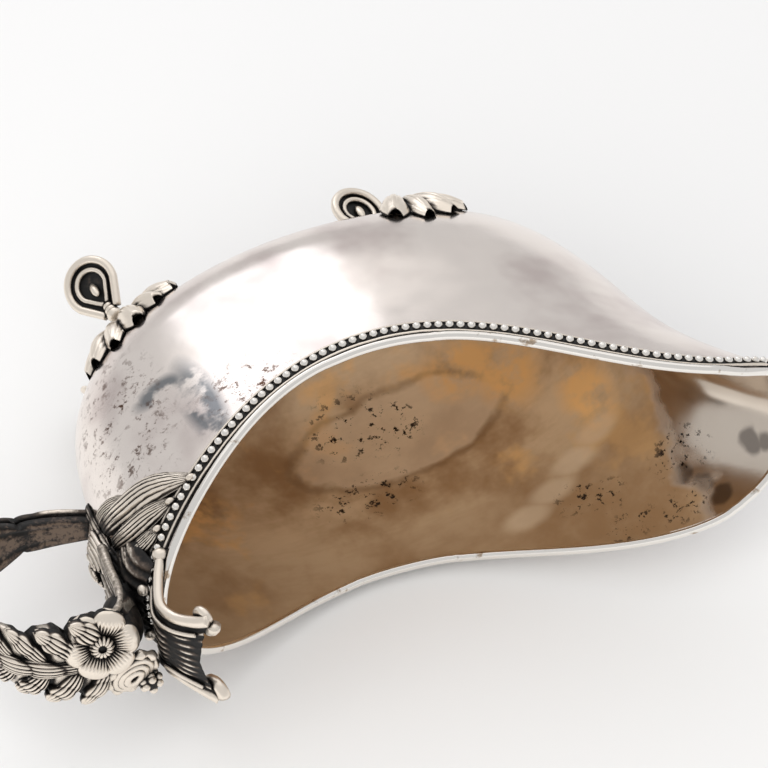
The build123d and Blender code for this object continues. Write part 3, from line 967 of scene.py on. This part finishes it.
@dataclass
class ThumbPiece:
    """Flared fan over the rear of the rim, with a rolled moulding down each side."""

    side_line: Path = field(default_factory=lambda: [at(*place) for place in (
        (6.6, 13.2, 89.5), (4.2, 11.0, 94.0), (2.6, 9.0, 99.0), (4.0, 8.6, 103.5), (7.0, 9.8, 107.8),
        (9.4, 11.2, 110.2))])
    moulding: float = 1.25
    volute: float = 2.8
    sag: float = 1.6

    def build(self) -> None:
        """Makes the web, the mouldings and the scrolls at their ends."""
        shape = Shape("thumb_fan")
        line = spline(self.side_line)

        def web(share: float, turn: float) -> tuple[Vector, float]:
            """A point of the ribbed web between the mouldings."""
            start = 0.22 + 0.76 * share
            edge = line(start - 0.10 * (1 - abs(turn)) * share)
            ribs = (0.5 + 0.5 * math.cos(math.pi * 11 * turn)) ** 2
            height = 0.08 + 0.72 * ribs * (0.55 + 0.45 * math.cos(math.pi * 5 * share + 7 * turn * turn))
            back = Vector((-1.0, 0.0, 0.3)) * (self.sag * (1 - turn * turn) + 0.6 * height)
            return Vector((edge.x, edge.y * turn, edge.z)) + back, height

        shape.surface(web, 50, 72, 1.3)
        for side in Side:
            path = smooth(sided(self.side_line, side), 40)
            shape.tube(path, lambda share: self.moulding * (0.75 + 0.35 * share), around=12, relief=1.0)
            shape.ball(path[0], 1.6, Vector((1.2, 0.9, 1.0)))
            self.scroll(shape, path[-1], side)
            inner = [Vector((p.x - 1.6, p.y * 0.72, p.z + 0.2)) for p in path[6:-3]]
            shape.tube(inner, lambda share: 0.55, around=8, relief=0.8)
        shape.finish(CAST, "thumb_piece")

    def scroll(self, shape: Shape, centre: Vector, side: Side) -> None:
        """Adds a rolled end like a small snail shell.

        Args:
            shape: the shape that gets it.
            centre: where the roll starts.
            side: which side of the fan it is on.
        """
        spiral = []
        for i in range(40):
            turn = math.pi * 0.5 + 2.6 * math.pi * i / 39
            size = self.volute * (1 - 0.72 * i / 39)
            middle = centre + Vector((-0.3, -side.value * 0.9, -self.volute * 0.7))
            spiral.append(middle + Vector((0.35 * math.sin(turn) * size, side.value * math.cos(turn) * size,
                                           math.sin(turn) * size)))
        shape.tube(spiral, lambda share: 1.45 - 0.8 * share, around=10, relief=1.0)


@dataclass
class Root:
    """The casting on the rear wall: a ribbed shell, a dark hollow above it and stems up to the grip."""

    bowl: Bowl
    low: float = 57.5
    high: float = 91.0
    halves: Sequence[float] = (3.5, 6.0, 8.0, 8.6, 8.6)

    def build(self) -> None:
        """Makes the plate, the shell, the stems and the rivet head."""
        plate = Shape("root_plate")
        spine = [at(-3.0, 0, self.low + (self.high - self.low) * i / 4) for i in range(5)]
        Leaf(spine, [Vector((-1, 0, 0))] * 5, self.halves, lobes=5, notch=0.2, relief=0.8, sweep=-0.2, arch=0.15,
             grooves=12, thickness=1.2, bowl=self.bowl).add(plate, 60, 48)
        self.collar(plate)
        plate.ball(at(-4.0, 0, 91.5), 6.5, Vector((0.62, 0.85, 0.95)), relief=0.22, fine=4)
        self.shell(plate)
        self.stems(plate)
        plate.finish(CAST, "handle_root")

    def collar(self, shape: Shape) -> None:
        """Adds the dark hollow part that wraps the border at the rear, up to the thumb piece.

        Args:
            shape: the shape that gets it.
        """
        def place(share: float, turn: float) -> tuple[Vector, float]:
            """A point of the collar and its relief."""
            bend = turn + 0.10 * math.sin(3.0 * share) * (1 if turn > 0 else -1)
            ribs = max(ridge(abs(bend), where, 0.05) for where in (0.14, 0.38, 0.60, 0.80, 0.96))
            level = 80 + (13.5 - 2.8 * turn * turn) * share
            lift = 0.2 + 1.8 * min(1.0, 2.5 * share) + 0.7 * ribs
            point, _ = self.bowl.seat(at(-4 + 9 * turn * turn, 12.0 * turn, level), lift)
            return point, 0.10 + 0.8 * ribs * (1.0 - 0.75 * share)

        shape.surface(place, 26, 60, 1.6)

    def shell(self, shape: Shape) -> None:
        """Adds the shell: nested scrolls that stand off the wall.

        Args:
            shape: the shape that gets them.
        """
        for side in Side:
            for ring in range(5):
                size = 7.2 - 1.25 * ring
                path = []
                for i in range(24):
                    turn = math.pi * (-0.62 + 1.24 * i / 23)
                    across = side.value * (1.0 + size * 0.52 * (1 + math.cos(turn)) * 0.62)
                    place, normal = self.bowl.seat(at(-5, across, 73.5 + size * math.sin(turn)), 1.6 + 0.45 * ring)
                    path.append(place)
                shape.tube(path, lambda share: 0.75 - 0.28 * abs(2 * share - 1), around=8, relief=0.95)

    def stems(self, shape: Shape) -> None:
        """Adds the ridges that rise from the shell to the grip, and the rivet head beside them.

        Args:
            shape: the shape that gets them.
        """
        for across, spread, size in ((0.0, 0.0, 1.3), (2.6, 2.8, 1.0), (5.0, 5.4, 1.0), (7.2, 7.6, 1.1)):
            for side in Side:
                path = smooth([at(-2.2, side.value * across, 76), at(-2.9, side.value * (across + 0.3), 83),
                               at(-3.2, side.value * (across + spread) / 2, 89), at(-4.4, side.value * spread, 93.5),
                               at(-7.0, side.value * spread * 1.1, 96.8)], 30)
                shape.tube(path, lambda share: size * (1 - 0.3 * share), around=10, relief=0.55)
        for side in Side:
            shape.ball(at(1.5, side.value * 6.5, 91.0), 1.3)


@dataclass
class Spray:
    """Acanthus leaves that run forward from the root along the underside of the border."""

    bowl: Bowl
    side: Side
    blades: Sequence = (
        (((-0.5, 7.5, 71.5), (3.6, 15.0, 75.5), (9.0, 21.5, 78.0), (16.0, 26.5, 82.5)), (2.2, 3.6, 3.3, 0.7)),
        (((0.0, 7.5, 77.0), (3.0, 13.0, 80.5), (7.0, 18.0, 82.3), (11.0, 22.0, 83.6)), (1.6, 2.6, 2.3, 0.6)),
        (((0.2, 6.5, 82.0), (2.2, 11.0, 84.6), (4.6, 14.5, 85.8), (7.0, 17.5, 86.0)), (1.3, 1.9, 1.7, 0.6)),
        (((-0.4, 6.0, 68.0), (1.2, 10.0, 69.5), (3.2, 13.5, 71.5), (5.0, 16.0, 74.0)), (1.4, 1.8, 1.4, 0.5)),
    )

    def build(self) -> None:
        """Makes the leaves of one side."""
        shape = Shape(f"spray_{self.side.name.lower()}")
        for places, halves in self.blades:
            spine = sided([at(*place) for place in places], self.side)
            facing = [self.bowl.seat(point + Vector((-2, 0, 0)))[1] for point in spine]
            Leaf(spine, facing, halves, lobes=1, notch=0.2, relief=0.9, sweep=0.5, arch=0.55, grooves=6,
                 clean=2.2, thickness=1.2, bowl=self.bowl).add(shape, 48, 40)
            shape.ball(self.bowl.seat(spine[-1], 1.1)[0], 0.85, Vector((1.4, 1.1, 0.8)))
        shape.finish(CAST, f"leaf_spray_{self.side.name.lower()}")


@dataclass
class Blossom:
    """An open flower: rounded petals with engraved lines about a domed middle."""

    name: str
    centre: Vector
    normal: Vector
    radius: float
    petals: int = 6
    cup: float = 1.2
    boss: float = 2.3

    def build(self) -> None:
        """Makes the petals, the middle and its pit."""
        shape = Shape(self.name)
        out = self.normal.normalized()
        first = out.orthogonal().normalized()
        for k in range(self.petals):
            turn = Matrix.Rotation(2 * math.pi * (k + 0.3) / self.petals, 3, out)
            ray = turn @ first
            spine = [self.centre + ray * self.radius * share + out * lift * self.cup
                     for share, lift in ((0.12, 0.1), (0.4, 0.75), (0.72, 0.9), (1.0, 0.35))]
            facing = [(out - ray * 0.2 + ray * 0.5 * share).normalized() for share in (0, 0.3, 0.6, 1.0)]
            wide = self.radius * math.sin(math.pi / self.petals) * 0.9
            self.petal(shape, spine, facing, wide)
        shape.ball(self.centre - out * 0.6, self.radius * 0.85, Vector((1, 1, 0.12)), turned_to(out), relief=0.0)
        shape.ball(self.centre + out * 0.7, self.boss, Vector((1, 1, 0.6)), turned_to(out), relief=0.05)
        count = 14
        for k in range(count):
            ray = Matrix.Rotation(2 * math.pi * k / count, 3, out) @ first
            ends = [self.centre + out * 1.2 + ray * self.boss * 1.05, self.centre + out * 2.3 + ray * self.boss * 0.72,
                    self.centre + out * 2.2 + ray * self.boss * 0.42]
            shape.tube(smooth(ends, 8), lambda share: self.boss * 0.17, around=8, relief=0.95)
        shape.finish(CAST, self.name)

    def petal(self, shape: Shape, spine: Path, facing: Path, wide: float) -> None:
        """Adds one rounded petal with engraved lines.

        Args:
            shape: the shape that gets it.
            spine: its middle line, root to tip.
            facing: the way it faces along the line.
            wide: its half-width at the widest.
        """
        line, front = spline(spine), spline(facing)

        def place(share: float, turn: float) -> tuple[Vector, float]:
            """A point of the petal and its relief."""
            run = (line(min(share + 0.02, 1)) - line(max(share - 0.02, 0))).normalized()
            side = front(share).cross(run).normalized()
            half = wide * min(1.0, 0.35 + 1.1 * share) * math.sqrt(max(0.0, 1 - max(0.0, (share - 0.6) / 0.4) ** 2))
            lines = (0.5 - 0.5 * math.cos(math.pi * 9 * turn)) ** 2
            depth = min(1.0, max(0.0, 1.5 - share * 2.0)) * lines + ridge(share, 0.0, 0.3)
            height = max(0.0, 1 - depth) * (1 - 0.8 * abs(turn) ** 14)
            lift = 0.5 * half * (1 - turn * turn) * 0.55 - 0.3 * depth
            return line(share) + side * turn * half + front(share) * lift, height

        shape.surface(place, 36, 48, 0.9)


@dataclass
class Rosette:
    """A half-open flower seen from the side: nested oval rolls with a frilled edge."""

    name: str
    centre: Vector
    normal: Vector
    radius: float
    rolls: int = 4
    frill: float = 0.35

    def build(self) -> None:
        """Makes the rolls, the dark oval in the middle and the frill."""
        shape = Shape(self.name)
        out = self.normal.normalized()
        first = Vector((0.55, 0.85, 0.0)).cross(out).cross(out).normalized()
        second = out.cross(first)
        for roll in range(self.rolls):
            size = self.radius * (1 - 0.23 * roll)
            path = [self.centre + out * (0.2 + 0.45 * roll) + first * math.cos(2 * math.pi * i / 40) * size
                    + second * math.sin(2 * math.pi * i / 40) * size * 0.68 for i in range(40)]
            frill = self.frill if roll == 0 else 0.0

            def thick(share: float) -> float:
                """Half-thickness of the roll; only the outer one is frilled."""
                return self.radius * 0.15 * (1 + frill * math.cos(2 * math.pi * 9 * share))

            shape.tube(path, thick, closed=True, around=10, relief=0.95)
        shape.ball(self.centre, self.radius * 0.86, Vector((1, 1, 0.3)), turned_to(out), relief=0.1)
        shape.finish(CAST, self.name)


@dataclass
class Bud:
    """A small round bud of overlapping scales."""

    centre: Vector
    radius: float = 2.7

    def build(self) -> None:
        """Makes the core and its scales."""
        shape = Shape("bud")
        shape.ball(self.centre, self.radius * 0.8, relief=0.15)
        for tier, (level, count) in enumerate(((-0.3, 7), (0.25, 6), (0.7, 4))):
            ring = math.sqrt(1 - level * level)
            for k in range(count):
                turn = 2 * math.pi * (k + 0.5 * tier) / count
                ray = Vector((math.cos(turn) * ring, math.sin(turn) * ring, level))
                shape.ball(self.centre + ray * self.radius * 0.72, self.radius * 0.34)
        shape.finish(CAST, "bud")


# ----------------------------------------------------------------------------------------------
# Feet
# ----------------------------------------------------------------------------------------------
@dataclass
class Foot:
    """One foot: a leaf fan on the bowl, a knot, and a hollowed spoon that stands on the table."""

    bowl: Bowl
    place: str
    side: Side
    forward: float
    track: float
    turn: float
    kick: tuple[float, float]
    fan_forward: float
    fan_track: float
    pad: float = 6.5
    neck: float = 2.2
    leaves: int = 7
    fan: float = 14.5
    spread: float = 26.0
    skip: int = 0

    def __post_init__(self) -> None:
        """Works out the foot's own axes."""
        angle = math.radians(self.turn)
        self.facing = Vector((math.cos(angle), self.side.value * math.sin(angle), 0.0))
        self.across = UP.cross(self.facing).normalized()
        self.knot = at(self.forward, self.side.value * self.track / 2, TABLE_TO_BOWL)
        self.fan_root = at(self.fan_forward, self.side.value * self.fan_track / 2, TABLE_TO_BOWL)
        self.down = Vector((self.kick[0], self.side.value * self.kick[1], -1.0)).normalized()
        self.length = TABLE_TO_BOWL / -self.down.z
        self.front = self.across.cross(self.down).normalized()
        self.front = self.front if self.front.dot(self.facing) > 0 else -self.front

    def outline(self, inset: float, lift: float, count: int = 60) -> Path:
        """The spoon's outline, drawn in by an inset.

        Args:
            inset: how far inside the edge.
            lift: how far in front of the plate's middle.
            count: how many points.

        Returns:
            Points from the neck, round the pad, and back.
        """
        length = self.length
        radius = self.pad - inset
        middle = length - self.pad - 0.1
        neck = max(0.5, self.neck - inset * 0.6)
        start = 0.8 + inset * 1.1
        open_angle = math.radians(62)
        corners = [(-neck, start)]
        for i in range(25):
            angle = open_angle + (2 * math.pi - 2 * open_angle) * i / 24
            corners.append((-math.sin(angle) * radius, middle - math.cos(angle) * radius))
        corners += [(neck, start)]
        points = [self.knot + self.across * x + self.down * y + self.front * (lift + 0.6 * ridge(y, length, 4.0))
                  for x, y in corners]
        return smooth(points, count)

    def build(self) -> None:
        """Makes the spoon, the knot and the fan."""
        label = f"{self.place}_{self.side.name.lower()}"
        spoon = Shape(f"spoon_{label}")
        rim = self.outline(0.75, 0.35)
        inner = self.outline(2.9, 0.2)
        centre = self.knot + self.down * (TABLE_TO_BOWL * 0.55)
        cells = len(rim) // 2 - 1

        def plate(share: float, turn: float) -> tuple[Vector, float]:
            """A point of the hollowed plate inside the outline."""
            step = round(share * cells)
            left, right = rim[step], rim[-1 - step]
            point = left.lerp(right, (turn + 1) / 2)
            grain = noise(point * 1.3) * 0.5 + 0.5
            return point - self.front * (0.2 + 0.5 * (1 - turn * turn)), 0.05 + 0.3 * grain * (1 - turn * turn)

        spoon.surface(plate, cells, 14, 1.1)
        spoon.tube(rim, lambda share: 0.95, around=10, relief=1.0)
        spoon.tube(inner, lambda share: 0.62, around=10, relief=0.85)
        spoon.ball(centre + self.front * 0.35, 2.3, Vector((0.45, 0.35, 1.0)))
        for step in range(3):
            place = self.knot + self.down * (0.4 + 1.2 * step) + self.front * 0.4
            spoon.ball(place, 1.9 - 0.3 * step, Vector((1.0, 1.0, 0.7)), relief=0.9)
        spoon.finish(CAST, f"foot_{label}")
        self.leafage(label)

    def leafage(self, label: str) -> None:
        """Makes the fan of pillowed leaves that lies on the bowl above the knot.

        Args:
            label: the foot's own part of the piece's name.
        """
        shape = Shape(f"fan_{label}")
        outward = (self.facing * 0.8 - UP * 0.6).normalized()
        rise = (UP * 0.8 + self.facing * 0.6).normalized()
        across = self.across * -self.side.value
        for k in range(self.skip, self.leaves):
            angle = math.radians(self.spread * (k - (self.leaves - 1) / 2))
            ray = rise * math.cos(angle) + across * math.sin(angle)
            size = self.fan * (1.0 - 0.10 * math.sin(abs(angle)))
            wide = 2.9 if k % 2 == 0 else 2.5
            spine = []
            for share in (0.06, 0.35, 0.7, 1.0):
                start = self.fan_root + outward * 2.0 + ray * size * share
                spine.append(self.bowl.seat(start, 0.1)[0])
            facing = [self.bowl.seat(point + outward)[1] for point in spine]
            Leaf(spine, facing, (wide * 0.35, wide * 0.95, wide * 1.15, wide * 0.6), lobes=0, notch=0.0, relief=0.4,
                 sweep=0.5, arch=0.8, grooves=4, clean=1.4, thickness=1.4, bowl=self.bowl).add(shape, 26, 24)
        shape.ball(self.bowl.seat(self.fan_root + outward * 2, 0.8)[0], 2.0)
        shape.finish(CAST, f"leaf_fan_{label}")


# ----------------------------------------------------------------------------------------------
# Studio
# ----------------------------------------------------------------------------------------------
@dataclass
class Studio:
    """Pale sweep, camera and soft lights about the boat, which lies tipped on its side for the view."""

    eye: Vector = field(default_factory=lambda: at(-148.90, 627.55, 717.94))
    right: Vector = Vector((0.92379, -0.07548, 0.37538))
    up: Vector = Vector((0.30301, 0.74345, -0.59621))
    back: Vector = Vector((-0.23408, 0.66452, 0.70967))
    lens: float = 203.52
    ground: Vector = Vector((0.0288, 0.9913, 0.1284))

    def build(self) -> None:
        """Makes the floor, the camera and the lights."""
        self.floor()
        self.camera()
        self.lights()

    def floor(self) -> None:
        """A large flat sheet that touches the boat's lowest side as it lies."""
        up = self.ground.normalized()
        depth = min((obj.matrix_world @ v.co).dot(up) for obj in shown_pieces() if obj.type == "MESH"
                    for v in obj.data.vertices)
        first = up.orthogonal().normalized()
        bm = bmesh.new()
        matrix = Matrix.Translation(up * (depth - 0.0005)) @ turned_to(up)
        bmesh.ops.create_grid(bm, x_segments=1, y_segments=1, size=1.6, matrix=matrix)
        mesh = bpy.data.meshes.new("sweep")
        bm.to_mesh(mesh)
        bm.free()
        mesh.materials.append(PaleSweep("pale_paper_sweep").build())
        obj = bpy.data.objects.new("sweep", mesh)
        bpy.context.scene.collection.objects.link(obj)
        obj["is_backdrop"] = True

    def camera(self) -> None:
        """Sets the camera by its three axes."""
        data = bpy.data.cameras.new("view")
        data.lens, data.sensor_width = self.lens, 36.0
        data.clip_start, data.clip_end = 0.01, 10.0
        obj = bpy.data.objects.new("view", data)
        turn = Matrix((self.right, self.up, self.back)).transposed().to_4x4()
        obj.matrix_world = Matrix.Translation(self.eye * MM) @ turn
        bpy.context.scene.collection.objects.link(obj)
        bpy.context.scene.camera = obj

    def area(self, name: str, place: Vector, size: float, power: float, colour: str, mirrored: bool = True) -> None:
        """Adds one soft square light that looks at the boat.

        Args:
            name: its name.
            place: where it is, in metres.
            size: its side, in metres.
            power: its power, in watts.
            colour: its hex colour.
            mirrored: whether polished metal shows it.
        """
        data = bpy.data.lights.new(name, "AREA")
        data.shape, data.size, data.energy, data.color = "SQUARE", size, power, linear(colour)[:3]
        obj = bpy.data.objects.new(name, data)
        middle = Vector((0.0, 0.0, 0.055))
        turn = (place - middle).to_track_quat("Z", "Y").to_matrix().to_4x4()
        obj.matrix_world = Matrix.Translation(place) @ turn
        obj.visible_glossy = mirrored
        bpy.context.scene.collection.objects.link(obj)

    def lights(self) -> None:
        """A large light over the floor, a low one from behind the boat and a pale room."""
        over = self.ground.normalized()
        far = -(self.back - over * self.back.dot(over)).normalized()
        aside = over.cross(far).normalized()
        self.area("overhead_softbox", over * 0.95 + far * 0.35, 1.5, 2.3, "fffdfa")
        self.area("window_side", over * 0.5 + far * 0.7 + aside * 0.3, 0.5, 0.7, "f6f8ff")
        self.area("front_softbox", self.back * 1.05 - over * 0.12 + aside * 0.2, 0.95, 6.2, "fffdf9", mirrored=False)
        world = bpy.data.worlds.new("pale_room")
        world.use_nodes = True
        world.node_tree.nodes.clear()
        sky = add(world.node_tree, "ShaderNodeBackground", {"Color": linear("f1f1f2"), "Strength": 0.76})
        add(world.node_tree, "ShaderNodeOutputWorld", {"Surface": sky.outputs[0]})
        bpy.context.scene.view_settings.view_transform = "Standard"
        bpy.context.scene.world = world


# ----------------------------------------------------------------------------------------------
# Assembly
# ----------------------------------------------------------------------------------------------
def main() -> None:
    """Builds every piece in order, then the studio."""
    logging.basicConfig(level=logging.INFO, format="%(message)s")
    bowl = Bowl()
    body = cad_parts["body"]
    body.data.materials.clear()
    body.data.materials.append(RAISED.build())
    Rim(bowl).build()
    Grip().build()
    LowerArm().build()
    ThumbPiece().build()
    Root(bowl).build()
    for side in Side:
        Spray(bowl, side).build()
    Blossom("flower", at(-11.0, 4.0, 99.4), Vector((-0.15, 0.25, 1.0)), 8.0).build()
    Rosette("rosette", at(-5.6, -6.2, 99.6), Vector((-0.05, -0.25, 1.0)), 6.2).build()
    Bud(at(-2.2, -9.6, 100.6)).build()
    for side in Side:
        Foot(bowl, "front", side, 83.5, 25.0, 68.0, (0.05, 0.13), 89.5, 42.0, fan=17.5, skip=2).build()
        Foot(bowl, "rear", side, 23.5, 27.0, 130.0, (-0.26, 0.31), 23.5, 27.0, fan=17.5).build()
    Studio().build()


if __name__ == "__main__":
    main()
